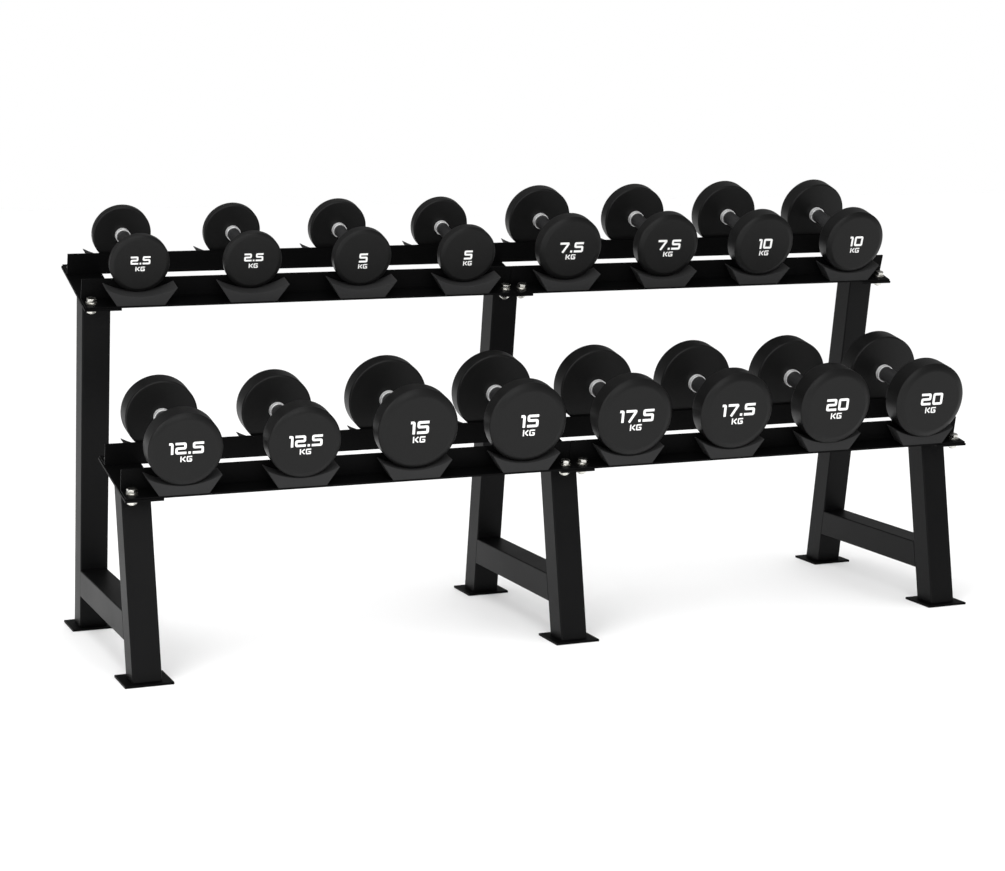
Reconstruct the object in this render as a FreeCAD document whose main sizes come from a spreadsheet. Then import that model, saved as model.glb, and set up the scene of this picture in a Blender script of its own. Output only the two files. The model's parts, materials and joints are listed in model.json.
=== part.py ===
# Two-tier dumbbell rack holding eight pairs of dumbbells.
#
# Millimetres.  +X runs along the rack to the right, +Y to the back, +Z up.  The origin is the centre of the
# underside of the middle frame's front foot plate.
#
# A shelf has its own frame: x along the rack, then the distance back along the tilted plate, then the height
# above the plate's upper face.  Its zero is the plate's front upper edge.

import FreeCAD
import Part
import Sketcher
import math
import os
from FreeCAD import Placement, Rotation, Vector

SIZES = [
    # frames
    ("bay", 960, "frame to frame"),
    ("foot_side", 102, "square foot plate"),
    ("foot_thick", 5, ""),
    ("foot_gap", 530, "front foot to rear foot"),
    ("tube", 62, "square tube"),
    ("tube_wall", 3, ""),
    ("tube_round", 3, "outer corner radius"),
    ("lean_front", 9.4, "degrees, top to the back"),
    ("lean_rear", 9.8, "degrees, top to the front"),
    ("crossbar_base", 78, "underside above the floor"),
    # shelves
    ("shelf_width", 80, "along the rack"),
    ("shelf_depth", 257, ""),
    ("shelf_thick", 5, ""),
    ("shelf_mid", 128.5, "middle of the cradles, back from the front edge"),
    ("upper_edge_y", 298.8, ""),
    ("upper_edge_z", 744.1, ""),
    ("upper_tilt", 17.5, "degrees"),
    ("lower_edge_y", -47, ""),
    ("lower_edge_z", 387.8, ""),
    ("lower_tilt", 11.7, "degrees"),
    # rails
    ("rail_thick", 4, ""),
    ("rail_flat", 53.5, "width of the lying flange"),
    ("rail_height", 48.5, "height of the standing flange"),
    ("rail_inset", 2, "behind the plate's front edge"),
    ("rail_over", 38, "past the outer frames' centres"),
    ("rail_joint", 1, "gap between the rails of two bays"),
    # fasteners
    ("bolt_side", 20.6, "bolt from its frame's centre"),
    ("bolt_radius", 6, ""),
    ("bolt_clear", 6.5, "radius of the holes"),
    ("bolt_hex", 10.97, "corner radius of the head"),
    ("bolt_head", 8, ""),
    ("bolt_flange", 12, "radius"),
    ("flange_thick", 2, ""),
    ("bolt_spare", 3, "thread past the nut"),
    ("washer_radius", 13, ""),
    ("washer_thick", 2, ""),
    ("nut_hex", 10.97, "corner radius"),
    ("nut_thick", 10, ""),
    ("screw_radius", 3, ""),
    ("screw_clear", 3.3, "radius of the holes"),
    ("screw_long", 18, ""),
    ("screw_head", 6, "radius"),
    ("screw_head_thick", 3.5, ""),
    ("screw_side", 30, "screw from its saddle's centre"),
    # saddles
    ("saddle_base", 52.5, "half width at the rail"),
    ("saddle_tip", 78.4, "half width at the tips"),
    ("saddle_blunt", 2, "width of each tip"),
    ("saddle_floor", 19.5, "thickness under the head"),
    ("saddle_height", 39, "to the tips"),
    ("saddle_depth", 42, ""),
    # dumbbells
    ("pitch", 251.3, "dumbbell to dumbbell"),
    ("row_shift", 2, "middle of a row, right of the middle frame"),
    ("grip_gap", 158.7, "between the heads"),
    ("seat_gap", 0.3, "head to saddle"),
    ("skin", 3.5, "moulding over a core's faces"),
    ("skin_side", 2.5, "least moulding around a core"),
    ("collar_long", 12, ""),
    ("collar_step", 2.5, "collar beyond the grip"),
    ("rim", 4, "chamfer at the inner rim"),
    ("steel_density", 7.85, "g per cubic centimetre"),
    ("skin_density", 1.1, "g per cubic centimetre"),
]

# Weight in kg, head radius, head thickness, grip radius, and the outer bevel: across the face, then along
# the side.
WEIGHTS = [
    (2.5, 65.3, 20, 14, 9, 4),
    (5, 67, 26.5, 14, 9, 4),
    (7.5, 78, 35.5, 16, 13, 7),
    (10, 78, 46, 16, 13, 7),
    (12.5, 78, 51, 16, 13, 7),
    (15, 89.5, 45, 18, 17, 9),
    (17.5, 89.5, 52, 18, 17, 9),
    (20, 89.5, 57, 18, 17, 9),
]
PER_TIER = 8
PER_BAY = 4

doc = FreeCAD.newDocument("dumbbell_rack")
sheet = doc.addObject("Spreadsheet::Sheet", "sizes")
nodes = []


def fill_sheet(rows):
    """Write name, value and note, one row each, and give each value its alias."""
    for row, (alias, value, note) in enumerate(rows, start=1):
        sheet.set("A%d" % row, alias)
        sheet.set("B%d" % row, str(value))
        sheet.set("C%d" % row, note)
        sheet.setAlias("B%d" % row, alias)
    doc.recompute()


def val(alias):
    return float(sheet.get(alias))


def bind(thing, **formulas):
    """Bind properties to formulas; a bare word in braces is a cell of the sheet."""
    for prop, formula in formulas.items():
        thing.setExpression(prop, formula.replace("{", "sizes.").replace("}", ""))
    return thing


def primitive(kind, name, **formulas):
    return bind(doc.addObject("Part::" + kind, name), **formulas)


def at(thing, x=0.0, y=0.0, z=0.0, turn=None):
    thing.Placement = Placement(Vector(x, y, z), turn or Rotation())
    return thing


def cut(name, base, tool):
    result = doc.addObject("Part::Cut", name)
    result.Base, result.Tool = base, tool
    return result


def fuse(name, parts):
    result = doc.addObject("Part::MultiFuse", name)
    result.Shapes = parts
    return result


def link(target, x=0.0, y=0.0, z=0.0, turn=None):
    copy = doc.addObject("App::Link", target.Name + "_copy")
    copy.LinkedObject = target
    copy.LinkTransform = False
    return at(copy, x, y, z, turn)


def node(name, parts, place=None):
    """A named sub-part made of one or more solids."""
    group = doc.addObject("Part::Compound", name)
    group.Links = parts
    group.Placement = place or Placement()
    group.Label = name
    nodes.append((group, len(parts)))
    return group


def round_edges(name, base, direction):
    """Round the four edges of a box that run along a direction, by the tube's corner radius."""
    doc.recompute()
    along = [number for number, edge in enumerate(base.Shape.Edges, start=1)
             if abs(edge.tangentAt(edge.FirstParameter).dot(direction)) > 0.99]
    rounded = doc.addObject("Part::Fillet", name)
    rounded.Base = base
    rounded.Edges = [(number, val("tube_round"), val("tube_round")) for number in along]
    return rounded


def body_plane(body, role):
    return [item for item in body.Origin.OriginFeatures if item.Role == role][0]


def new_sketch(body, name, role):
    sketch = body.newObject("Sketcher::SketchObject", name)
    sketch.AttachmentSupport = [(body_plane(body, role), "")]
    sketch.MapMode = "FlatFace"
    return sketch


def pin_point(sketch, geometry, point, name, across, up):
    """Fix one point of a sketch by two signed distances from the origin, each bound to a formula."""
    for kind, suffix, formula in (("DistanceX", "_x", across), ("DistanceY", "_y", up)):
        if formula == "0":
            line = -2 if kind == "DistanceX" else -1
            sketch.addConstraint(Sketcher.Constraint("PointOnObject", geometry, point, line))
            continue
        number = sketch.addConstraint(Sketcher.Constraint(kind, -1, 1, geometry, point, 1.0))
        sketch.renameConstraint(number, name + suffix)
        bind(sketch, **{"Constraints." + name + suffix: formula})


def polygon(sketch, corners, guess):
    """A closed outline: corners are pairs of formulas, guess the same corners as numbers."""
    count = len(corners)
    for number in range(count):
        start, end = guess[number], guess[(number + 1) % count]
        sketch.addGeometry(Part.LineSegment(Vector(*start, 0), Vector(*end, 0)), False)
    for number in range(count):
        sketch.addConstraint(Sketcher.Constraint("Coincident", number, 2, (number + 1) % count, 1))
    for number, (across, up) in enumerate(corners):
        pin_point(sketch, number, 1, "corner%d" % number, across, up)


def shelf_place(tier, x=0.0):
    turn = Rotation(Vector(1, 0, 0), val(tier + "_tilt"))
    return Placement(Vector(x, val(tier + "_edge_y"), val(tier + "_edge_z")), turn)


def frame_places():
    return (("left", -val("bay")), ("middle", 0.0), ("right", val("bay")))


def dumbbell_x(number):
    return (number - (PER_TIER - 1) / 2) * val("pitch") + val("row_shift")


# ---------------------------------------------------------------- frames

def leaning_box(name, size, base_y, lean, rounded):
    """A long upright box, centred on its axis, that leans about its foot."""
    box = primitive("Box", name, Length=size, Width=size, Height="{upper_edge_z} * 1.5")
    if rounded:
        box = round_edges(name + "_rounded", box, Vector(0, 0, 1))
    turn = Rotation(Vector(1, 0, 0), lean)
    doc.recompute()
    half = box.Shape.BoundBox.XLength / 2
    start = Vector(0, base_y, 0) + turn.multVec(Vector(-half, -half, -val("bay") / 10))
    return at(box, start.x, start.y, start.z, turn)


def upright(side, base_y, lean, tier):
    """A tube cut level at its foot plate and cut to the slope of its shelf plate."""
    outer = leaning_box(side + "_outer", "{tube}", base_y, lean, True)
    inner = leaning_box(side + "_inner", "{tube} - 2 * {tube_wall}", base_y, lean, False)
    below = primitive("Box", side + "_below", Length="{bay}", Width="2 * {bay}", Height="{bay}")
    at(below, -val("bay") / 2, -val("bay"), val("foot_thick") - val("bay"))
    above = primitive("Box", side + "_above", Length="{bay}", Width="2 * {bay}", Height="{bay}")
    shelf = shelf_place(tier)
    corner = shelf.multVec(Vector(-val("bay") / 2, -val("bay"), -val("shelf_thick")))
    at(above, corner.x, corner.y, corner.z, shelf.Rotation)
    return cut(side + "_upright", cut(side + "_tube", outer, inner), fuse(side + "_ends", [below, above]))


def crossbar():
    """A level tube whose ends are coped to the two leaning uprights."""
    outer = primitive("Box", "crossbar_outer", Length="{tube}", Width="{foot_gap}", Height="{tube}")
    outer = round_edges("crossbar_rounded", outer, Vector(0, 1, 0))
    at(outer, -val("tube") / 2, 0, val("crossbar_base"))
    inner = primitive("Box", "crossbar_inner", Length="{tube} - 2 * {tube_wall}", Width="{foot_gap}",
                      Height="{tube} - 2 * {tube_wall}")
    at(inner, val("tube_wall") - val("tube") / 2, 0, val("crossbar_base") + val("tube_wall"))
    front = leaning_box("cope_front", "{tube}", 0, -val("lean_front"), False)
    rear = leaning_box("cope_rear", "{tube}", val("foot_gap"), val("lean_rear"), False)
    return cut("crossbar", cut("crossbar_tube", outer, inner), fuse("copes", [front, rear]))


def build_frames():
    front = upright("front", 0, -val("lean_front"), "lower")
    rear = upright("rear", val("foot_gap"), val("lean_rear"), "upper")
    bar = crossbar()
    foot = primitive("Box", "foot", Length="{foot_side}", Width="{foot_side}", Height="{foot_thick}")
    feet = []
    for side, x in frame_places():
        node("upright_front_" + side, [link(front, x)])
        node("upright_rear_" + side, [link(rear, x)])
        node("crossbar_" + side, [link(bar, x)])
        for y in (0, val("foot_gap")):
            feet.append(link(foot, x - val("foot_side") / 2, y - val("foot_side") / 2))
    node("foot_plates", feet)


# ---------------------------------------------------------------- shelves

def bolt_back():
    """How far back the front bolts are: the middle of the flange in front of its upstand."""
    return val("rail_inset") + (val("rail_flat") - val("rail_thick")) / 2


def bolt_spots():
    """Bolt places on a tier: one at each end of each rail."""
    spots = []
    inner, outer = val("bolt_side"), val("bay") + val("bolt_side")
    for x in (-outer, -inner, inner, outer):
        for back in (bolt_back(), 2 * val("shelf_mid") - bolt_back()):
            spots.append((x, back))
    return spots


def shelf_plate(side, x):
    """A flat plate drilled for the bolts that come through it."""
    blank = primitive("Box", "plate_" + side, Length="{shelf_width}", Width="{shelf_depth}",
                      Height="{shelf_thick}")
    at(blank, -val("shelf_width") / 2, 0, -val("shelf_thick"))
    drills = []
    for spot_x, back in bolt_spots():
        if abs(spot_x - x) < val("shelf_width") / 2:
            drill = primitive("Cylinder", "drill_" + side, Radius="{bolt_clear}", Height="{shelf_thick} * 3")
            drills.append(at(drill, spot_x - x, back, -2 * val("shelf_thick")))
    return cut("shelf_plate_" + side, blank, fuse("drills_" + side, drills))


def rail(side, bay):
    """An angle with its standing flange on the inner side, drilled for two bolts and eight screws."""
    body = doc.addObject("PartDesign::Body", "angle_%s_%s" % (side, bay))
    outline = new_sketch(body, "angle_outline", "YZ_Plane")
    inset, flat = val("rail_inset"), val("rail_flat")
    thick, height = val("rail_thick"), val("rail_height")
    edges = ["{rail_inset}", "{rail_inset} + {rail_flat} - {rail_thick}", "{rail_inset} + {rail_flat}"]
    spots = [inset, inset + flat - thick, inset + flat]
    if side == "rear":
        edges = ["2 * {shelf_mid} - (%s)" % edge for edge in edges]
        spots = [2 * val("shelf_mid") - spot for spot in spots]
    corners = [(edges[0], "0"), (edges[2], "0"), (edges[2], "{rail_height}"), (edges[1], "{rail_height}"),
               (edges[1], "{rail_thick}"), (edges[0], "{rail_thick}")]
    guess = [(spots[0], 0), (spots[2], 0), (spots[2], height), (spots[1], height), (spots[1], thick),
             (spots[0], thick)]
    polygon(outline, corners, guess)
    pad = body.newObject("PartDesign::Pad", "angle_pad")
    pad.Profile = outline
    bind(pad, Length="{bay} + {rail_over} - {rail_joint} / 2")
    doc.recompute()

    start = -val("bay") - val("rail_over") if bay == "left" else val("rail_joint") / 2
    holes = new_sketch(body, "angle_holes", "XY_Plane")
    back = bolt_back() if side == "front" else 2 * val("shelf_mid") - bolt_back()
    circles = []
    for spot_x, spot_back in bolt_spots():
        if abs(spot_back - back) < 1 and (spot_x < 0) == (bay == "left"):
            circles.append((spot_x - start, val("bolt_clear")))
    for x in saddle_spots(bay):
        for screw in (-val("screw_side"), val("screw_side")):
            circles.append((x + screw - start, val("screw_clear")))
    for x, radius in circles:
        holes.addGeometry(Part.Circle(Vector(x, back, 0), Vector(0, 0, 1), radius), False)
    pocket = body.newObject("PartDesign::Pocket", "angle_drilled")
    pocket.Profile = holes
    pocket.Reversed = True
    bind(pocket, Length="{rail_thick}")
    doc.recompute()
    drilled = sum(math.pi * radius ** 2 * thick for x, radius in circles)
    if abs(pad.Shape.Volume - pocket.Shape.Volume - drilled) > 1:
        raise RuntimeError("the holes of a rail are not all cut")
    return body, start


def saddle_spots(bay):
    first = 0 if bay == "left" else PER_BAY
    return [dumbbell_x(number) for number in range(first, first + PER_BAY)]


def saddle():
    """A moulded cradle: wider at its tips than at the rail, hollowed by a wide arc, with two screw holes.

    Its zero is the middle of its underside's front edge.
    """
    block = primitive("Wedge", "saddle_block", Xmin="-{saddle_base}", Xmax="{saddle_base}",
                      X2min="-{saddle_tip}", X2max="{saddle_tip}", Ymin="0 * {saddle_height}",
                      Ymax="{saddle_height}", Zmin="0 * {saddle_depth}", Zmax="{saddle_depth}",
                      Z2min="0 * {saddle_depth}", Z2max="{saddle_depth}")
    at(block, 0, val("saddle_depth"), 0, Rotation(Vector(1, 0, 0), 90))
    half = "({saddle_tip} - {saddle_blunt})"
    sag = "({saddle_height} - {saddle_floor})"
    arc = primitive("Cylinder", "saddle_arc", Radius="(%s^2 + %s^2) / (2 * %s)" % (half, sag, sag),
                    Height="{saddle_depth} * 2")
    doc.recompute()
    at(arc, 0, 1.5 * val("saddle_depth"), val("saddle_floor") + arc.Radius.Value,
       Rotation(Vector(1, 0, 0), 90))
    tools = [arc]
    for x in (-val("screw_side"), val("screw_side")):
        pilot = primitive("Cylinder", "saddle_pilot", Radius="{screw_radius}",
                          Height="{screw_long} - {rail_thick}")
        tools.append(at(pilot, x, saddle_screw_back(), 0))
    return cut("saddle", block, fuse("saddle_tools", tools))


def saddle_screw_back():
    """The screws stand in line with the rail's bolts."""
    return bolt_back() - val("rail_inset")


def screw():
    """A pan-head screw that comes up through the rail; its zero is under its head."""
    shank = primitive("Cylinder", "screw_shank", Radius="{screw_radius}", Height="{screw_long}")
    head = primitive("Cylinder", "screw_pan", Radius="{screw_head}", Height="{screw_head_thick}")
    at(head, 0, 0, -val("screw_head_thick"))
    return fuse("screw", [shank, head])


def bolt():
    """A flanged hex bolt; its zero is under its flange, and its shank points down."""
    flange = primitive("Cylinder", "bolt_rim", Radius="{bolt_flange}", Height="{flange_thick}")
    head = primitive("Prism", "bolt_hexagon", Polygon="6", Circumradius="{bolt_hex}",
                     Height="{flange_thick} + {bolt_head}")
    grip = "{rail_thick} + {shelf_thick} + 2 * {washer_thick} + {nut_thick} + {bolt_spare}"
    shank = primitive("Cylinder", "bolt_shank", Radius="{bolt_radius}", Height=grip)
    doc.recompute()
    at(shank, 0, 0, -shank.Height.Value)
    return fuse("bolt", [flange, head, shank])


def ring(name, outer, bore, height):
    """A cylinder with a hole through it, standing on its zero."""
    body = primitive("Cylinder", name + "_outer", Radius=outer, Height=height)
    hole = primitive("Cylinder", name + "_bore", Radius=bore, Height=height)
    return cut(name, body, hole)


def nut():
    body = primitive("Prism", "nut_hexagon", Polygon="6", Circumradius="{nut_hex}", Height="{nut_thick}")
    hole = primitive("Cylinder", "nut_bore", Radius="{bolt_radius}", Height="{nut_thick}")
    return cut("nut", body, hole)


def on_tier(tier, thing, x, back, height):
    """A copy of a thing at a place given in a tier's shelf frame."""
    place = shelf_place(tier)
    spot = place.multVec(Vector(x, back, height))
    return link(thing, spot.x, spot.y, spot.z, place.Rotation)


def build_shelves():
    plates = {side: shelf_plate(side, x) for side, x in frame_places()}
    rails = {(side, bay): rail(side, bay) for side in ("front", "rear") for bay in ("left", "right")}
    cradle = saddle()
    pan, hexed = screw(), bolt()
    washer = ring("washer", "{washer_radius}", "{bolt_clear}", "{washer_thick}")
    fixing = nut()
    screws, bolts, washers, nuts = [], [], [], []
    under = -val("shelf_thick") - val("washer_thick")
    for tier in ("upper", "lower"):
        node("shelf_plates_" + tier, [on_tier(tier, plates[side], x, 0, 0) for side, x in frame_places()])
        for (side, bay), (body, start) in rails.items():
            node("rail_%s_%s_%s" % (tier, side, bay), [on_tier(tier, body, start, 0, 0)])
        for side in ("front", "rear"):
            front_edge = val("rail_inset")
            if side == "rear":
                front_edge = 2 * val("shelf_mid") - val("rail_inset") - 2 * saddle_screw_back()
            cradles = []
            for x in saddle_spots("left") + saddle_spots("right"):
                cradles.append(on_tier(tier, cradle, x, front_edge, val("rail_thick")))
                for off in (-val("screw_side"), val("screw_side")):
                    screws.append(on_tier(tier, pan, x + off, front_edge + saddle_screw_back(), 0))
            node("saddles_%s_%s" % (tier, side), cradles)
        for x, back in bolt_spots():
            bolts.append(on_tier(tier, hexed, x, back, val("rail_thick") + val("washer_thick")))
            washers.append(on_tier(tier, washer, x, back, val("rail_thick")))
            washers.append(on_tier(tier, washer, x, back, under))
            nuts.append(on_tier(tier, fixing, x, back, under - val("nut_thick")))
    node("saddle_screws", screws)
    node("rail_bolts", bolts)
    node("rail_washers", washers)
    node("rail_nuts", nuts)


# ---------------------------------------------------------------- dumbbells

def bevelled(radius, length, wide, deep):
    """Volume of a disc whose outer edge is bevelled, across its face by wide and along its side by deep."""
    return math.pi * (radius ** 2 * length - deep * (radius * wide - wide ** 2 / 3))


def head_volume(radius, thick, grip, wide, deep):
    """Volume of a head and its core, less the bar's hole through the inner skin."""
    inner_rim = math.pi * val("rim") * (radius * val("rim") - val("rim") ** 2 / 3)
    return bevelled(radius, thick, wide, deep) - inner_rim - math.pi * grip ** 2 * val("skin")


def core_radius(kilos, radius, thick, grip, wide, deep):
    """Radius of the bevelled steel core for a weight, or the largest that its moulding can cover."""
    skin, gap = val("skin"), val("grip_gap")
    steel, soft = val("steel_density"), val("skin_density")
    bar = math.pi * grip ** 2 * (gap + 2 * skin)
    collar = math.pi * ((grip + val("collar_step")) ** 2 - grip ** 2) * val("collar_long")
    filled = 2 * head_volume(radius, thick, grip, wide, deep)
    missing = kilos * 1e6 - steel * (bar + 2 * collar) - soft * filled
    wanted = missing / (steel - soft) / 2 / math.pi
    length = thick - 2 * skin
    slope = deep * wide
    rest = deep * wide ** 2 / 3 - wanted
    exact = (slope + math.sqrt(slope ** 2 - 4 * length * rest)) / (2 * length)
    return min(exact, radius - val("skin_side"))


def turned(name, corners, guess):
    """A solid turned about Y from an outline of places along it and out from it."""
    body = doc.addObject("PartDesign::Body", name)
    outline = new_sketch(body, name + "_outline", "YZ_Plane")
    polygon(outline, corners, guess)
    turn = body.newObject("PartDesign::Revolution", name + "_turned")
    turn.Profile = outline
    turn.ReferenceAxis = (outline, ["H_Axis"])
    turn.Angle = 360
    return body


def cells(tag):
    return {name: "{%s_%s}" % (name, tag) for name in ("radius", "thick", "grip", "wide", "deep", "core")}


def head(tag, radius, thick, grip, wide, deep, core):
    """A moulding from its inner face outwards, hollow for its core and for the end of its bar."""
    cell, skin, rim = cells(tag), val("skin"), val("rim")
    far = cell["thick"] + " - {skin}"
    corners = [("0", cell["grip"]), ("0", cell["radius"] + " - {rim}"), ("{rim}", cell["radius"]),
               (cell["thick"] + " - " + cell["deep"], cell["radius"]),
               (cell["thick"], cell["radius"] + " - " + cell["wide"]), (cell["thick"], "0"),
               (far, "0"), (far, cell["core"] + " - " + cell["wide"]),
               (far + " - " + cell["deep"], cell["core"]), ("{skin}", cell["core"]), ("{skin}", cell["grip"])]
    guess = [(0, grip), (0, radius - rim), (rim, radius), (thick - deep, radius), (thick, radius - wide),
             (thick, 0), (thick - skin, 0), (thick - skin, core - wide), (thick - skin - deep, core),
             (skin, core), (skin, grip)]
    return turned("head_" + tag, corners, guess)


def slug(tag, thick, wide, deep, core):
    """The bevelled steel core, from its inner face outwards."""
    cell, length = cells(tag), thick - 2 * val("skin")
    far = cell["thick"] + " - 2 * {skin}"
    corners = [("0", "0"), ("0", cell["core"]), (far + " - " + cell["deep"], cell["core"]),
               (far, cell["core"] + " - " + cell["wide"]), (far, "0")]
    guess = [(0, 0), (0, core), (length - deep, core), (length, core - wide), (length, 0)]
    return turned("core_" + tag, corners, guess)


def dumbbell_pieces(tag, radius, thick, grip, wide, deep, core):
    """The steel and the moulded pieces of one weight, about the middle of its grip."""
    half, skin = val("grip_gap") / 2, val("skin")
    bar = primitive("Cylinder", "bar_" + tag, Radius="{grip_%s}" % tag, Height="{grip_gap} + 2 * {skin}")
    collar = ring("collar_" + tag, "{grip_%s} + {collar_step}" % tag, "{grip_%s}" % tag, "{collar_long}")
    steel_core = slug(tag, thick, wide, deep, core)
    moulding = head(tag, radius, thick, grip, wide, deep, core)
    flat = Rotation(Vector(1, 0, 0), -90)
    over = Rotation(Vector(0, 0, 1), 180)
    steel = [(bar, -half - skin, flat),
             (steel_core, half + skin, Rotation()),
             (steel_core, -half - skin, over),
             (collar, half - val("collar_long"), flat),
             (collar, -half, flat)]
    soft = [(moulding, half, Rotation()), (moulding, -half, over)]
    doc.recompute()
    whole = moulding.Shape.Volume + steel_core.Shape.Volume
    if abs(whole - head_volume(radius, thick, grip, wide, deep)) > 1:
        raise RuntimeError("the head and core of %s do not fill one another" % tag)
    return steel, soft


def build_dumbbells(weights):
    for number, row in enumerate(weights):
        tag, radius = "size" + "abcdefgh"[number], row[1]
        steel, soft = dumbbell_pieces(tag, *row[1:], core_radius(*row))
        for twin in (0, 1):
            place = 2 * number + twin
            tier = "upper" if place < PER_TIER else "lower"
            height = val("rail_thick") + val("saddle_floor") + val("seat_gap") + radius
            shelf = shelf_place(tier)
            spot = shelf.multVec(Vector(dumbbell_x(place % PER_TIER), val("shelf_mid"), height))
            where = Placement(spot, shelf.Rotation)
            for kind, pieces in (("steel", steel), ("heads", soft)):
                copies = [link(thing, 0, y, 0, side) for thing, y, side in pieces]
                node("dumbbell_%02d_%s" % (place + 1, kind), copies, where)


def weight_cells(weights):
    """The sheet's cells for the weights, one tag for each, with the core worked out from the weight."""
    rows = []
    for number, row in enumerate(weights):
        tag = "size" + "abcdefgh"[number]
        note = "%s kg" % row[0]
        for name, value in zip(("radius", "thick", "grip", "wide", "deep"), row[1:]):
            rows.append(("%s_%s" % (name, tag), value, note))
        rows.append(("core_" + tag, core_radius(*row), note))
    return rows


# ---------------------------------------------------------------- the whole rack

fill_sheet(SIZES)
fill_sheet(SIZES + weight_cells(WEIGHTS))
build_frames()
build_shelves()
build_dumbbells(WEIGHTS)
doc.recompute()

for thing in doc.Objects:
    if "Invalid" in thing.State or "Error" in thing.State:
        raise RuntimeError("%s did not compute: %s" % (thing.Name, thing.State))
for group, count in nodes:
    if group.Shape.isNull() or not group.Shape.isValid():
        raise RuntimeError("%s has no sound shape" % group.Label)
    if len(group.Shape.Solids) != count:
        raise RuntimeError("%s has %d solids, not %d" % (group.Label, len(group.Shape.Solids), count))

os.makedirs("parts", exist_ok=True)
for group, count in nodes:
    group.Shape.exportStep("parts/%s.step" % group.Label)
print(len(nodes), "sub-parts,", sum(count for group, count in nodes), "solids")
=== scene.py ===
# %% [markdown]
# A two-tier rack with sixteen round-headed dumbbells.
# The steel frame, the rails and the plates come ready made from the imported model, and only need a finish.
# The parts that the eye goes to, which are the heads, grips, collars, numerals, cradles and bolts, are made
# here as surfaces worked out with numpy, so that their edges are as soft as the real ones.

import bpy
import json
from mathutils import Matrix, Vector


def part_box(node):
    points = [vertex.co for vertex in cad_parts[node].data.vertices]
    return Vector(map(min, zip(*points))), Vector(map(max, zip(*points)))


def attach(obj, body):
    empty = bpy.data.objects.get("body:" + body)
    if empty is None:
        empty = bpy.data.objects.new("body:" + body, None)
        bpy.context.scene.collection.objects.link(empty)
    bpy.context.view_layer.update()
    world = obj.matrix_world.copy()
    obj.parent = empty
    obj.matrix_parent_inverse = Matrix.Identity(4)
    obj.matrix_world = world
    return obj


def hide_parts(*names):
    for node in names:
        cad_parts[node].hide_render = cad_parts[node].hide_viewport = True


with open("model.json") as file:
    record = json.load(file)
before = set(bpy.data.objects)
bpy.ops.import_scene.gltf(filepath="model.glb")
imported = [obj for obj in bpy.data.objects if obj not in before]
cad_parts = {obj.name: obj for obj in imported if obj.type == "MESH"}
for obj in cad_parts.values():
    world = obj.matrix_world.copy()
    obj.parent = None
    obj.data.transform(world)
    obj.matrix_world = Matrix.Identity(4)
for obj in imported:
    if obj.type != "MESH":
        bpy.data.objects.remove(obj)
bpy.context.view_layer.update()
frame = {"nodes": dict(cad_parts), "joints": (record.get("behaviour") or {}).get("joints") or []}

import json
import math

import bpy
import numpy as np
from mathutils import Matrix, Vector

# %% [markdown]
# Every dumbbell lifts off square to the shelf that carries it, so the direction of its joint is also the
# shelf's upward direction. The shelf's origin is its plates' front upper edge, which the plates' box gives.
# With those two facts a place on a shelf can be written as three plain distances: along the rack, back along
# the slope, and up from the plate.

# %% The two sloping shelves
PLATE_THICK = 0.005
PER_TIER = 8
joint_axis = {joint["child"]: joint["axis"] for joint in frame["joints"]}


def shelf_frame(tier, first_dumbbell):
    """Origin, backward direction and upward direction of a shelf.

    The plate's box is depth times cos plus thickness times sin from front to back, which gives its depth; its
    highest point is its back edge, which is depth times sin above its front edge.
    """
    up = Vector(joint_axis["dumbbell_%02d" % first_dumbbell]).normalized()
    back = Vector((0, up.z, -up.y))
    low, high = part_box("shelf_plates_" + tier)
    depth = (high[1] - low[1] - PLATE_THICK * back.z) / back.y
    origin = Vector((0, low[1], high[2] - depth * back.z))
    return {"origin": origin, "back": back, "up": up, "depth": depth}


shelves = {"upper": shelf_frame("upper", 1), "lower": shelf_frame("lower", 1 + PER_TIER)}
for tier, shelf in shelves.items():
    print(tier, "slope", round(math.degrees(math.atan2(shelf["back"].z, shelf["back"].y)), 2),
          "depth", round(shelf["depth"], 4))

# %% [markdown]
# The camera stands to the left of the rack, a little above it, and looks to the right. A long lens keeps the
# two ends of the rack close to the same size, as in a catalogue picture.

# %% Camera
camera_data = bpy.data.cameras.new("camera")
camera_data.sensor_width = 36
camera_data.lens = 78.95
camera = bpy.data.objects.new("camera", camera_data)
bpy.context.scene.collection.objects.link(camera)
LOOK_DOWN, LOOK_RIGHT = 8.636, 22.28
camera.location = (-1.9533, -4.3777, 1.1851)
camera.rotation_euler = (math.radians(90 - LOOK_DOWN), 0, math.radians(-LOOK_RIGHT))
bpy.context.scene.camera = camera
print("camera at", tuple(camera.location))

# %% [markdown]
# Black steel shows its shape only through what it reflects, so the light matters more than the colour. The
# surround lights every surface evenly and leaves the ground white, but it is held back in reflections, or it
# would lay a grey veil over everything black. Three large soft panels then give the fronts and the left sides
# a little more than the tops.

# %% Light and floor
SURROUND_SEEN, SURROUND_DIFFUSE, SURROUND_GLOSS = 1.0, 1.15, 0.30
bpy.context.scene.view_settings.view_transform = "Standard"
world = bpy.data.worlds.new("studio")
bpy.context.scene.world = world
world.use_nodes = True
sky = world.node_tree.nodes["Background"]
sky.inputs["Color"].default_value = (1, 1, 1, 1)
rays = world.node_tree.nodes.new("ShaderNodeLightPath")


def held_back(ray, plain, held):
    """A world strength: held for one kind of ray, and plain, a number or a socket, for the rest."""
    choice = world.node_tree.nodes.new("ShaderNodeMix")
    choice.data_type = "FLOAT"
    world.node_tree.links.new(rays.outputs[ray], choice.inputs["Factor"])
    if isinstance(plain, float):
        choice.inputs["A"].default_value = plain
    else:
        world.node_tree.links.new(plain, choice.inputs["A"])
    choice.inputs["B"].default_value = held
    return choice.outputs["Result"]


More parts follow.
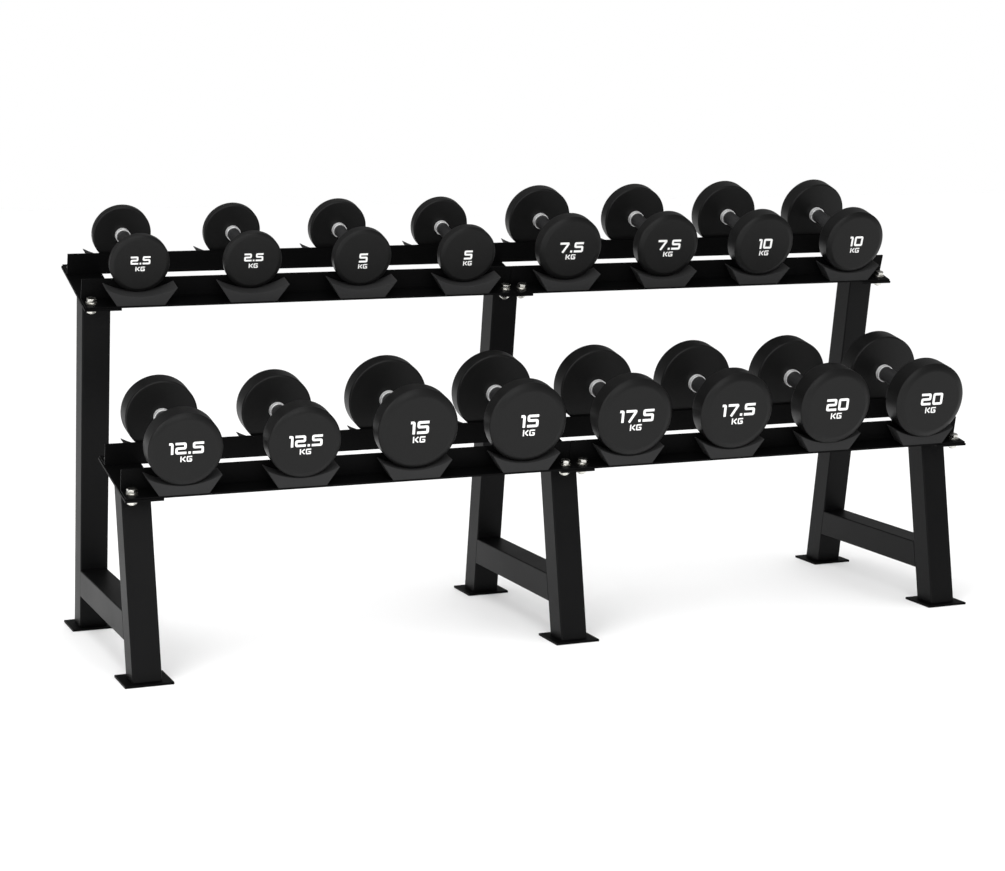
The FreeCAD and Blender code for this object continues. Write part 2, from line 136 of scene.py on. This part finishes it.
strength = held_back("Is Glossy Ray", SURROUND_DIFFUSE, SURROUND_GLOSS)
strength = held_back("Is Camera Ray", strength, SURROUND_SEEN)
world.node_tree.links.new(strength, sky.inputs["Strength"])


def soft_panel(name, place, target, size, power):
    """A square lamp that faces a target point."""
    lamp = bpy.data.lights.new(name, "AREA")
    lamp.shape = "SQUARE"
    lamp.size = size
    lamp.energy = power
    holder = bpy.data.objects.new(name, lamp)
    bpy.context.scene.collection.objects.link(holder)
    holder.location = place
    holder.rotation_euler = (Vector(target) - Vector(place)).to_track_quat("-Z", "Y").to_euler()
    return holder


RACK_MIDDLE = (0, 0.2, 0.6)
# Each panel: its name, its place, its side in metres and its power in watts.
PANELS = [
    ("panel_left", (-3.6, -2.6, 2.2), 2.4, 65),
    ("panel_front", (-0.6, -5.0, 2.6), 2.6, 70),
    ("panel_top", (-0.6, -1.2, 3.8), 3.0, 45),
]
for panel_name, place, size, power in PANELS:
    soft_panel(panel_name, place, RACK_MIDDLE, size, power)

FLOOR_SIDE = 40
floor_mesh = bpy.data.meshes.new("floor")
corner = FLOOR_SIDE / 2
ground = [(-corner, -corner, 0), (corner, -corner, 0), (corner, corner, 0), (-corner, corner, 0)]
floor_mesh.from_pydata(ground, [], [(0, 1, 2, 3)])
floor = bpy.data.objects.new("floor", floor_mesh)
bpy.context.scene.collection.objects.link(floor)
print("lamps and floor made")

# %% [markdown]
# A finish is built from a few nodes: a base colour that wanders slightly, a roughness that wanders with it,
# and a fine bump. All of them read Object coordinates, which are metres here, so a pattern's scale can be
# chosen as a real size: a scale of 900 is a grain of about one millimetre.

# %% Finishes


def finish(name, dark, light, roughness, grain, bump, drift=6.0, metallic=0.0, spread=0.06, specular=0.5):
    """A surface whose colour runs from dark to light with a slow drift, under a fine grained bump."""
    material = bpy.data.materials.new(name)
    material.use_nodes = True
    tree = material.node_tree
    shader = tree.nodes["Principled BSDF"]
    shader.inputs["Metallic"].default_value = metallic
    shader.inputs["Specular IOR Level"].default_value = specular
    place = tree.nodes.new("ShaderNodeTexCoord")

    slow = tree.nodes.new("ShaderNodeTexNoise")
    slow.inputs["Scale"].default_value = drift
    slow.inputs["Detail"].default_value = 5
    tree.links.new(place.outputs["Object"], slow.inputs["Vector"])
    tint = tree.nodes.new("ShaderNodeValToRGB")
    tint.color_ramp.elements[0].position = 0.3
    tint.color_ramp.elements[1].position = 0.7
    tint.color_ramp.elements[0].color = (*dark, 1)
    tint.color_ramp.elements[1].color = (*light, 1)
    tree.links.new(slow.outputs["Fac"], tint.inputs["Fac"])
    tree.links.new(tint.outputs["Color"], shader.inputs["Base Color"])

    shine = tree.nodes.new("ShaderNodeMapRange")
    shine.inputs["To Min"].default_value = roughness - spread
    shine.inputs["To Max"].default_value = roughness + spread
    tree.links.new(slow.outputs["Fac"], shine.inputs["Value"])
    tree.links.new(shine.outputs["Result"], shader.inputs["Roughness"])

    fine = tree.nodes.new("ShaderNodeTexNoise")
    fine.inputs["Scale"].default_value = grain
    fine.inputs["Detail"].default_value = 3
    tree.links.new(place.outputs["Object"], fine.inputs["Vector"])
    relief = tree.nodes.new("ShaderNodeBump")
    relief.inputs["Strength"].default_value = bump
    relief.inputs["Distance"].default_value = 0.0003
    tree.links.new(fine.outputs["Fac"], relief.inputs["Height"])
    tree.links.new(relief.outputs["Normal"], shader.inputs["Normal"])
    return material


powder_coat = finish("powder_coat", (0.0022, 0.0022, 0.0024), (0.0032, 0.0032, 0.0034), 0.45, 1100, 0.35,
                     specular=0.11)
rail_coat = finish("rail_coat", (0.0016, 0.0016, 0.0017), (0.0026, 0.0026, 0.0027), 0.5, 1100, 0.35,
                   specular=0.04)
cradle_moulding = finish("cradle_moulding", (0.019, 0.019, 0.0193), (0.023, 0.023, 0.0233), 0.62, 1600, 0.4,
                         specular=0.08)
head_moulding = finish("head_moulding", (0.0029, 0.0029, 0.0029), (0.0039, 0.0039, 0.0039), 0.42, 1400, 0.25,
                       specular=0.20)
grip_steel = finish("grip_steel", (0.016, 0.016, 0.0165), (0.024, 0.024, 0.0245), 0.4, 900, 0.2, drift=20,
                    specular=0.3)
collar_chrome = finish("collar_chrome", (0.80, 0.80, 0.80), (0.90, 0.90, 0.90), 0.30, 2600, 0.05,
                       drift=30, metallic=0.6, spread=0.03)
zinc_plate = finish("zinc_plate", (0.56, 0.55, 0.51), (0.74, 0.73, 0.69), 0.26, 2200, 0.1,
                    drift=60, metallic=1.0, spread=0.07)
numeral_paint = finish("numeral_paint", (0.74, 0.74, 0.73), (0.82, 0.82, 0.81), 0.5, 1500, 0.15)
floor_paint = finish("floor_paint", (0.93, 0.93, 0.93), (0.95, 0.95, 0.95), 0.85, 300, 0.02, drift=0.5)
floor.data.materials.append(floor_paint)
print("finishes:", len(bpy.data.materials))

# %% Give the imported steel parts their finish


def coat(node_name, material):
    """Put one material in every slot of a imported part."""
    part = frame["nodes"][node_name]
    part.data.materials.clear()
    part.data.materials.append(material)


for node_name in frame["nodes"]:
    if node_name.startswith(("upright", "crossbar")):
        coat(node_name, powder_coat)
    elif node_name in ("rail_bolts", "rail_nuts", "rail_washers", "saddle_screws"):
        coat(node_name, zinc_plate)
    elif node_name.startswith(("rail_", "shelf_plates", "foot_plates")):
        coat(node_name, rail_coat)
print("packed parts finished")

# %% [markdown]
# Nearly everything round on this object is a grid of points: one direction runs along a profile and the other
# runs round an axis. Working out the whole grid as arrays, and its faces from row and column numbers, is
# faster and neater than adding points one by one.

# %% Grids and meshes
import bmesh

# A shape is three arrays: its points, the point number at each face corner, and each face's corner count.


def grid_loops(rows, columns, close_rows=False, close_columns=True):
    """Corners of a grid's four-sided faces; a point's number is its row times columns plus its column."""
    row = np.arange(rows if close_rows else rows - 1)
    column = np.arange(columns if close_columns else columns - 1)
    row, column = np.meshgrid(row, column, indexing="ij")
    next_row, next_column = (row + 1) % rows, (column + 1) % columns
    corners = [row * columns + column, row * columns + next_column,
               next_row * columns + next_column, next_row * columns + column]
    return np.stack(corners, -1).reshape(-1)


def tube(grid):
    """A grid whose columns close into rings, with a flat face over its first and last ring."""
    rows, columns = grid.shape[:2]
    walls, ring = grid_loops(rows, columns), np.arange(columns)
    loops = np.concatenate([walls, ring[::-1], ring + (rows - 1) * columns])
    sizes = np.concatenate([np.full(len(walls) // 4, 4), [columns, columns]])
    return grid.reshape(-1, 3), loops, sizes


def loop_tube(grid):
    """A grid that closes both ways, like a tyre."""
    loops = grid_loops(*grid.shape[:2], close_rows=True)
    return grid.reshape(-1, 3), loops, np.full(len(loops) // 4, 4)


def together(shapes):
    """Several shapes as one: each shape's point numbers move up by the points before it."""
    shifts = np.cumsum([0] + [len(points) for points, _, _ in shapes])
    loops = [loops + shift for (_, loops, _), shift in zip(shapes, shifts)]
    return tuple(np.concatenate(parts) for parts in
                 ([shape[0] for shape in shapes], loops, [shape[2] for shape in shapes]))


def placed(shape, places):
    """A shape copied to each place, where a place turns local points into points of the model."""
    points, loops, sizes = shape
    return together([(place(points), loops, sizes) for place in places])


def new_piece(name, shape, material, smooth=True):
    """A mesh object at the origin whose faces point outwards."""
    points, loops, sizes = shape
    mesh = bpy.data.meshes.new(name)
    mesh.vertices.add(len(points))
    mesh.vertices.foreach_set("co", points.reshape(-1))
    mesh.loops.add(len(loops))
    mesh.loops.foreach_set("vertex_index", loops)
    mesh.polygons.add(len(sizes))
    mesh.polygons.foreach_set("loop_start", np.cumsum(sizes) - sizes)
    mesh.update(calc_edges=True)
    work = bmesh.new()
    work.from_mesh(mesh)
    bmesh.ops.recalc_face_normals(work, faces=work.faces)
    work.to_mesh(mesh)
    work.free()
    mesh.polygons.foreach_set("use_smooth", np.full(len(sizes), smooth))
    mesh.materials.append(material)
    piece = bpy.data.objects.new(name, mesh)
    bpy.context.scene.collection.objects.link(piece)
    return piece


def turned(along, out, around):
    """A profile turned about the second axis: across is out times cos, up is out times sin."""
    angle = np.arange(around) * 2 * np.pi / around
    level = np.repeat(along[:, None], around, 1)
    return np.stack([out[:, None] * np.cos(angle), level, out[:, None] * np.sin(angle)], -1)


# %% [markdown]
# A head is a thick disc. Its rim towards the hand has a small round, and the outer edge falls away in a wide
# soft bevel to a flat face. The bevel is a quarter of a superellipse, which with a power of a little over one
# lies between a straight chamfer and a full round.

# %% Sizes of the dumbbells
GRIP_GAP = 0.1587
COLLAR_LONG = 0.012
COLLAR_STEP = 0.0025
# Marking, head thickness, grip radius, and the bevel across the face and along the side.
WEIGHTS = [
    ("2.5", 0.0200, 0.014, 0.009, 0.004),
    ("5", 0.0265, 0.014, 0.009, 0.004),
    ("7.5", 0.0355, 0.016, 0.013, 0.007),
    ("10", 0.0460, 0.016, 0.013, 0.007),
    ("12.5", 0.0510, 0.016, 0.013, 0.007),
    ("15", 0.0450, 0.018, 0.017, 0.009),
    ("17.5", 0.0520, 0.018, 0.017, 0.009),
    ("20", 0.0570, 0.018, 0.017, 0.009),
]


def dumbbell_place(number):
    """The middle of a dumbbell's grip, its head radius, and its shelf's directions."""
    low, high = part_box("dumbbell_%02d_heads" % number)
    middle = (Vector(low) + Vector(high)) / 2
    shelf = shelves["upper" if number <= PER_TIER else "lower"]
    return middle, (high[0] - low[0]) / 2, shelf


def to_model(middle, shelf, points):
    """Local across, along the grip and up, carried to the model."""
    axes = np.array([(1, 0, 0), tuple(shelf["back"]), tuple(shelf["up"])])
    return points @ axes + np.array(middle)


# %% Heads


def head_profile(radius, thick, hole, wide, deep):
    """Along and out, from the hole in the inner face round to the middle of the outer face.

    The inner rim is a quarter circle. On the bevel, along goes from thick - deep to thick as a sine raised to
    2 over the power, and out goes from radius to radius - wide as a cosine raised to the same.
    """
    rim, power, close = 0.004, 1.35, 0.0005
    turn = np.linspace(0, np.pi / 2, 9)
    fall = np.linspace(0, np.pi / 2, 17)
    inner = np.array([(0, hole), (0, (hole + radius) / 2), (0, radius - rim - close)])
    round_rim = np.stack([rim - rim * np.cos(turn), radius - rim + rim * np.sin(turn)], -1)
    level = np.array([rim + close, (rim + thick - deep) / 2, thick - deep - close])
    side = np.stack([level, np.full(3, radius)], -1)
    bevel = np.stack([thick - deep + deep * np.sin(fall) ** (2 / power),
                      radius - wide + wide * np.cos(fall) ** (2 / power)], -1)
    flat = (radius - wide) * np.array([0.99, 0.9, 0.6, 0.3, 0.02])
    face = np.stack([np.full(len(flat), thick), flat], -1)
    return np.concatenate([inner, round_rim, side, bevel, face])


def both_ends(middle, shelf, inner):
    """Two places on a dumbbell, each starting a distance out from the middle of the grip."""
    def end(side):
        return lambda local: to_model(middle, shelf, local * (side, side, 1) + (0, side * inner, 0))
    return [end(1), end(-1)]


def fitted(piece, body):
    """Attach a piece to the body it moves with."""
    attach(piece, body)
    return piece


for number in range(1, 2 * PER_TIER + 1):
    marking, thick, grip, wide, deep = WEIGHTS[(number - 1) // 2]
    middle, radius, shelf = dumbbell_place(number)
    profile = head_profile(radius, thick, grip, wide, deep)
    disc = tube(turned(profile[:, 0], profile[:, 1], 96))
    pair = placed(disc, both_ends(middle, shelf, GRIP_GAP / 2))
    heads = new_piece("heads_%02d" % number, pair, head_moulding)
    fitted(heads, "dumbbell_%02d" % number)
    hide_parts("dumbbell_%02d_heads" % number)
print("heads made, the last with", len(heads.data.polygons), "faces")

# %% [markdown]
# The grip is a steel bar with a diamond knurl, which is two sets of shallow grooves that wind opposite ways.
# Where both waves are high a small diamond stands up. The grooves fade out before they reach the collars.

# %% Grips
KNURL_PITCH, KNURL_DEEP, KNURL_STEPS, KNURL_ENDS = 0.0032, 0.0004, 4, 0.016


def knurled_bar(radius, length):
    """A bar whose radius rises by the product of two crossed waves.

    Each wave is the sine of the distance along, plus or minus the angle. The grid has a fixed number of steps
    to a diamond both ways, so that every diamond is the same.
    """
    count = round(2 * np.pi * radius / KNURL_PITCH)
    rows = round(length / KNURL_PITCH * KNURL_STEPS)
    along = (np.arange(rows + 1) - rows / 2) * KNURL_PITCH / KNURL_STEPS
    angle = np.arange(count * KNURL_STEPS) * 2 * np.pi / (count * KNURL_STEPS)
    wave, turn = np.pi * along[:, None] / KNURL_PITCH, angle * count / 2
    ridges = np.abs(np.sin(wave + turn) * np.sin(wave - turn))
    fade = np.clip((length / 2 - KNURL_ENDS - np.abs(along)) / KNURL_PITCH, 0, 1)[:, None]
    out = radius - KNURL_DEEP * (1 - ridges) * fade
    level = np.repeat(along[:, None], len(angle), 1)
    return tube(np.stack([out * np.cos(angle), level, out * np.sin(angle)], -1))


def collar(bore, outer, length):
    """A ring whose section is a rounded rectangle with one shallow turned groove."""
    edge, groove = 0.0009, 0.0005
    turn = np.linspace(0, np.pi / 2, 5)
    start = np.stack([edge - edge * np.cos(turn), outer - edge + edge * np.sin(turn)], -1)
    end = np.stack([length - start[::-1, 0], start[::-1, 1]], -1)
    level = length * np.array([0.42, 0.46, 0.54, 0.58])
    notch = np.stack([level, outer - groove * np.array([0, 1, 1, 0])], -1)
    section = np.concatenate([[(0, bore)], start, notch, end, [(length, bore)]])
    return loop_tube(turned(section[:, 0], section[:, 1], 96))


BAR_HIDDEN = 0.003
for number in range(1, 2 * PER_TIER + 1):
    marking, thick, grip, wide, deep = WEIGHTS[(number - 1) // 2]
    middle, radius, shelf = dumbbell_place(number)
    whole = knurled_bar(grip, GRIP_GAP + 2 * BAR_HIDDEN)
    shape = placed(whole, [lambda local: to_model(middle, shelf, local)])
    bar = fitted(new_piece("grip_%02d" % number, shape, grip_steel), "dumbbell_%02d" % number)
    ring = collar(grip - KNURL_DEEP, grip + COLLAR_STEP, COLLAR_LONG)
    pair = placed(ring, both_ends(middle, shelf, GRIP_GAP / 2 - COLLAR_LONG))
    fitted(new_piece("collars_%02d" % number, pair, collar_chrome), "dumbbell_%02d" % number)
    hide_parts("dumbbell_%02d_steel" % number)
print("grips and collars made; a grip has", len(bar.data.polygons), "faces")

# %% [markdown]
# Each outer face carries its weight in bold square figures, with the unit below in smaller letters. Each sign
# is drawn as a sign writer would, with a flat brush: a centre line of a few points, its corners rounded a
# little, and the same width of stroke all along. The strokes stand up as thin solids, half sunk in the face.

# %% The lettering
STROKE, SIGN_WIDE, SIGN_GAP, PAINT_PROUD = 0.20, 0.92, 0.16, 0.0004
SIDE, TOP, FAR = STROKE / 2, 1 - STROKE / 2, SIGN_WIDE - STROKE / 2
# Each sign: its width, and its strokes' centre lines in a cell one unit high.
SIGNS = {
    "0": (SIGN_WIDE, [[(0.4, SIDE), (FAR, SIDE), (FAR, TOP), (SIDE, TOP), (SIDE, SIDE), (0.4, SIDE)]]),
    "1": (0.36, [[(0, TOP), (0.36 - SIDE, TOP), (0.36 - SIDE, 0)]]),
    "2": (SIGN_WIDE, [[(0, TOP), (FAR, TOP), (FAR, 0.5), (SIDE, 0.5), (SIDE, SIDE), (SIGN_WIDE, SIDE)]]),
    "5": (SIGN_WIDE, [[(SIGN_WIDE, TOP), (SIDE, TOP), (SIDE, 0.54), (FAR, 0.54), (FAR, SIDE), (0, SIDE)]]),
    "7": (SIGN_WIDE, [[(0, TOP), (FAR + 0.04, TOP), (0.3, 0)]]),
    ".": (STROKE, [[(0, SIDE), (STROKE, SIDE)]]),
    "K": (SIGN_WIDE, [[(SIDE, 0), (SIDE, 1)], [(0.86, 0.94), (0.36, 0.5), (0.86, 0.06)]]),
    "G": (SIGN_WIDE, [[(SIGN_WIDE, TOP), (SIDE, TOP), (SIDE, SIDE), (FAR, SIDE), (FAR, 0.47), (0.45, 0.47)]]),
}


def softened(corners, reach, steps=4):
    """An open line whose inner corners become quadratic curves that start and end a reach away."""
    corners = np.array(corners, float)
    inner = corners[1:-1, None]
    before, after = corners[:-2, None] - inner, corners[2:, None] - inner
    start = inner + before * reach / np.linalg.norm(before, axis=-1, keepdims=True)
    end = inner + after * reach / np.linalg.norm(after, axis=-1, keepdims=True)
    share = np.linspace(0, 1, steps)[None, :, None]
    curve = (1 - share) ** 2 * start + 2 * share * (1 - share) * inner + share ** 2 * end
    return np.concatenate([corners[:1], curve.reshape(-1, 2), corners[-1:]])


def stroke(line):
    """A solid of square section along a line: each point's edges lie half a stroke to its left and right."""
    along = np.gradient(line, axis=0)
    side = np.stack([-along[:, 1], along[:, 0]], -1) / np.linalg.norm(along, axis=1)[:, None] * STROKE / 2
    left, right = line + side, line - side
    section = np.stack([left, right, right, left], 1)
    rise = np.broadcast_to(np.array([1, 1, -1, -1.0])[:, None], (len(line), 4, 1))
    return tube(np.concatenate([section, rise], -1))


def lettering(words):
    """The words' strokes side by side, one unit high and centred on zero."""
    shapes, start = [], 0.0
    for sign in words:
        width, lines = SIGNS[sign]
        for line in lines:
            points, loops, sizes = stroke(softened(line, 0.07))
            shapes.append((points + (start, -0.5, 0), loops, sizes))
        start += width + SIGN_GAP
    points, loops, sizes = together(shapes)
    return points - ((start - SIGN_GAP) / 2, 0, 0), loops, sizes


def sized(shape, height, drop):
    """Scale a lettering to its height, thin it to the paint's thickness, and lower it."""
    points, loops, sizes = shape
    return points * (height, height, PAINT_PROUD) - (0, drop, 0), loops, sizes


print("a figure has", len(lettering("5")[2]), "faces")

# %% Numerals
FIGURE_HIGH, FIGURE_RISE, UNIT_HIGH, UNIT_DROP = 0.32, 0.065, 0.155, 0.235
# The lightest weights are lettered a little apart from the rest: a size for the figures, and how far up all
# the lettering stands, as a share of the head's radius.
FIGURE_SCALE = {"2.5": 0.87}
LIFT = {"2.5": 0.07, "5": -0.05}


def on_faces(middle, shelf, reach):
    """The two outer faces as places: lettering is stood up and read from outside."""
    def face(side):
        def stand(local):
            stood = np.stack([-side * local[:, 0], side * (reach + local[:, 2]), local[:, 1]], -1)
            return to_model(middle, shelf, stood)
        return stand
    return [face(-1), face(1)]


for number in range(1, 2 * PER_TIER + 1):
    marking, thick, grip, wide, deep = WEIGHTS[(number - 1) // 2]
    middle, radius, shelf = dumbbell_place(number)
    high = radius * FIGURE_HIGH * FIGURE_SCALE.get(marking, 1)
    lift = radius * LIFT.get(marking, 0)
    words = together([sized(lettering(marking), high, -radius * FIGURE_RISE - lift),
                      sized(lettering("KG"), radius * UNIT_HIGH, radius * UNIT_DROP - lift)])
    pair = placed(words, on_faces(middle, shelf, GRIP_GAP / 2 + thick))
    fitted(new_piece("numerals_%02d" % number, pair, numeral_paint, smooth=False),
           "dumbbell_%02d" % number)
print("numerals made")

# %% [markdown]
# A cradle is a moulded block, wider at its tips than at the rail, with a wide hollow on top. Its outline is a
# polygon with rounded corners, carried backwards. At each end the outline is worked out again from slightly
# smaller sizes, so that every edge is softly rounded as a moulding's is. Moving each point inwards would be
# shorter, but at the sharp tips the outline would cross itself, and its end face would fill the hollow.

# %% Cradles
RAIL_INSET, RAIL_THICK, RAIL_FLAT, SHELF_MID = 0.002, 0.004, 0.0535, 0.1285
CRADLE_BASE, CRADLE_TIP, CRADLE_BLUNT = 0.0525, 0.0784, 0.002
CRADLE_FLOOR, CRADLE_HIGH, CRADLE_DEEP = 0.0195, 0.039, 0.042


def rounded_outline(corners, radius, steps=5):
    """A closed outline whose corners are rounded: each is a quadratic curve between two points beside it."""
    corners = np.array(corners)
    before, after = np.roll(corners, 1, 0), np.roll(corners, -1, 0)
    towards = (before - corners) / np.linalg.norm(before - corners, axis=1)[:, None]
    away = (after - corners) / np.linalg.norm(after - corners, axis=1)[:, None]
    room = np.minimum(np.linalg.norm(before - corners, axis=1), np.linalg.norm(after - corners, axis=1))
    reach = np.minimum(radius, room * 0.45)[:, None]
    share = np.linspace(0, 1, steps)[None, :, None]
    start, end = (corners + towards * reach)[:, None], (corners + away * reach)[:, None]
    middle = corners[:, None]
    curve = (1 - share) ** 2 * start + 2 * share * (1 - share) * middle + share ** 2 * end
    return curve.reshape(-1, 2)


def cradle_outline(inset):
    """Anticlockwise: along the base, up to a tip, down and up the hollow, and down the other side.

    Every side is drawn in by the inset, and the tips keep their width, so that one outline lies in another.
    """
    base, tip, high, floor_high = np.array([CRADLE_BASE, CRADLE_TIP, CRADLE_HIGH, CRADLE_FLOOR]) - inset
    half, sag = tip - CRADLE_BLUNT, high - floor_high
    arc_radius = (half ** 2 + sag ** 2) / (2 * sag)
    across = np.linspace(half, -half, 29)
    hollow = floor_high + arc_radius - np.sqrt(arc_radius ** 2 - across ** 2)
    corners = [(-base, inset), (base, inset), (tip, high)]
    corners += list(zip(across, hollow)) + [(-tip, high)]
    return rounded_outline(corners, 0.0012)


def carried_block(outline, depth, edge=0.0009):
    """An outline, which is a function of its inset, carried backwards and drawn in at both ends."""
    turn = np.linspace(0, np.pi / 2, 4)
    draw = np.concatenate([edge * (1 - np.sin(turn)), edge * (1 - np.sin(turn))[::-1]])
    back = np.concatenate([edge * (1 - np.cos(turn)), depth - edge * (1 - np.cos(turn))[::-1]])
    rings = np.stack([outline(inset) for inset in draw])
    level = np.repeat(back[:, None], rings.shape[1], 1)
    return tube(np.stack([rings[..., 0], level, rings[..., 1]], -1))


def on_shelf(shelf, across, back, up):
    """A function that carries local points to a place on a shelf."""
    middle = shelf["origin"] + shelf["back"] * back + shelf["up"] * up + Vector((across, 0, 0))
    return lambda local: to_model(middle, shelf, local)


def dumbbell_across(tier):
    """Where a tier's dumbbells stand along the rack."""
    first = 1 if tier == "upper" else 1 + PER_TIER
    return [dumbbell_place(number)[0].x for number in range(first, first + PER_TIER)]


block = carried_block(cradle_outline, CRADLE_DEEP)
for tier, shelf in shelves.items():
    for side in ("front", "rear"):
        back = RAIL_INSET if side == "front" else 2 * SHELF_MID - RAIL_INSET - (RAIL_FLAT - RAIL_THICK)
        row = placed(block, [on_shelf(shelf, across, back, RAIL_THICK) for across in dumbbell_across(tier)])
        name = "cradles_%s_%s" % (tier, side)
        cradles = fitted(new_piece(name, row, cradle_moulding), "rack")
        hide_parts("saddles_%s_%s" % (tier, side))
print("cradles made, each with", len(block[2]), "faces")

# %% [markdown]
# The rails are held by flanged hex bolts. A hexagon is a circle whose radius depends on the angle: the
# distance to the flat, divided by the cosine of the angle from the middle of that flat. Taking the smaller of
# that and a domed limit gives the chamfered corners that a real bolt head has.

# %% Bolts and nuts
BOLT_SIDE, HEAD_HIGH, FLANGE_HIGH, FLANGE_RADIUS = 0.0206, 0.008, 0.002, 0.012
WASHER_THICK, NUT_HIGH, SHANK_RADIUS, SPARE = 0.002, 0.010, 0.006, 0.003
# Half a hexagon's width across its flats, and a limit so wide that it trims no corner.
HALF_FLATS, NO_LIMIT = 0.0095, 0.02


def hexagon_radius(angle, flat):
    """Distance to a hexagon's side: flat over the cosine of the angle from the side's middle."""
    from_side = (angle + np.pi / 6) % (np.pi / 3) - np.pi / 6
    return flat / np.cos(from_side)


def hex_stack(levels, limits, flat, around=72):
    """A hexagonal solid: at each level the radius is the smaller of the hexagon's and a limit."""
    angle = np.arange(around) * 2 * np.pi / around
    out = np.minimum(hexagon_radius(angle, flat)[None], np.array(limits)[:, None])
    rise = np.repeat(np.array(levels)[:, None], around, 1)
    return tube(np.stack([out * np.cos(angle), out * np.sin(angle), rise], -1))


def round_stack(levels, radii, around=48):
    """A round solid that stands up, closed at both ends."""
    return tube(turned(np.array(levels), np.array(radii), around)[..., [0, 2, 1]])


def flanged_bolt():
    """The head, its flange and the threaded shank, above and below the underside of the flange."""
    top = FLANGE_HIGH + HEAD_HIGH
    head = hex_stack([FLANGE_HIGH * 0.5, top - 0.0018, top - 0.0009, top - 0.0003, top],
                     [NO_LIMIT, NO_LIMIT, 0.0102, 0.0092, 0.0080], HALF_FLATS)
    flange = round_stack([0, 0.0003, 0.0009, FLANGE_HIGH, FLANGE_HIGH + 0.0004],
                         [FLANGE_RADIUS - 0.0003, FLANGE_RADIUS, FLANGE_RADIUS, 0.0109, 0.0096])
    grip = RAIL_THICK + PLATE_THICK + 2 * WASHER_THICK + NUT_HIGH + SPARE
    turns = np.arange(41)
    radii = SHANK_RADIUS - 0.0004 * (turns % 4 > 1)
    shank = round_stack([-grip, *(0.0008 + turns * 0.0004 - grip), 0],
                        [SHANK_RADIUS - 0.0012, *radii, SHANK_RADIUS])
    return together([head, flange, shank])


nut = hex_stack([0, 0.0006, 0.0014, NUT_HIGH - 0.0014, NUT_HIGH - 0.0006, NUT_HIGH],
                [0.0090, 0.0102, NO_LIMIT, NO_LIMIT, 0.0102, 0.0090], HALF_FLATS)
bolt_back = RAIL_INSET + (RAIL_FLAT - RAIL_THICK) / 2
bay = (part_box("upright_front_right")[0][0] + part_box("upright_front_right")[1][0]) / 2
bolt_across = (-bay - BOLT_SIDE, -BOLT_SIDE, BOLT_SIDE, bay + BOLT_SIDE)
BOLT_TURN = 0.9


def fastener_places(height):
    """Every bolt's place, at a height above its plate, each turned a little further than the last."""
    places = []
    for shelf in shelves.values():
        for back in (bolt_back, 2 * SHELF_MID - bolt_back):
            for across in bolt_across:
                put = on_shelf(shelf, across, back, height)
                spin = np.array(Matrix.Rotation(BOLT_TURN * len(places), 3, "Z"))
                places.append(lambda local, put=put, spin=spin: put(local @ spin))
    return places


for name, node_name, shape, height in (
        ("bolts", "rail_bolts", flanged_bolt(), RAIL_THICK + WASHER_THICK),
        ("nuts", "rail_nuts", nut, -PLATE_THICK - WASHER_THICK - NUT_HIGH)):
    group = placed(shape, fastener_places(height))
    piece = fitted(new_piece(name, group, zinc_plate, smooth=False), "rack")
    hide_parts(node_name)
print("bolts and nuts made at", len(fastener_places(0)), "places")
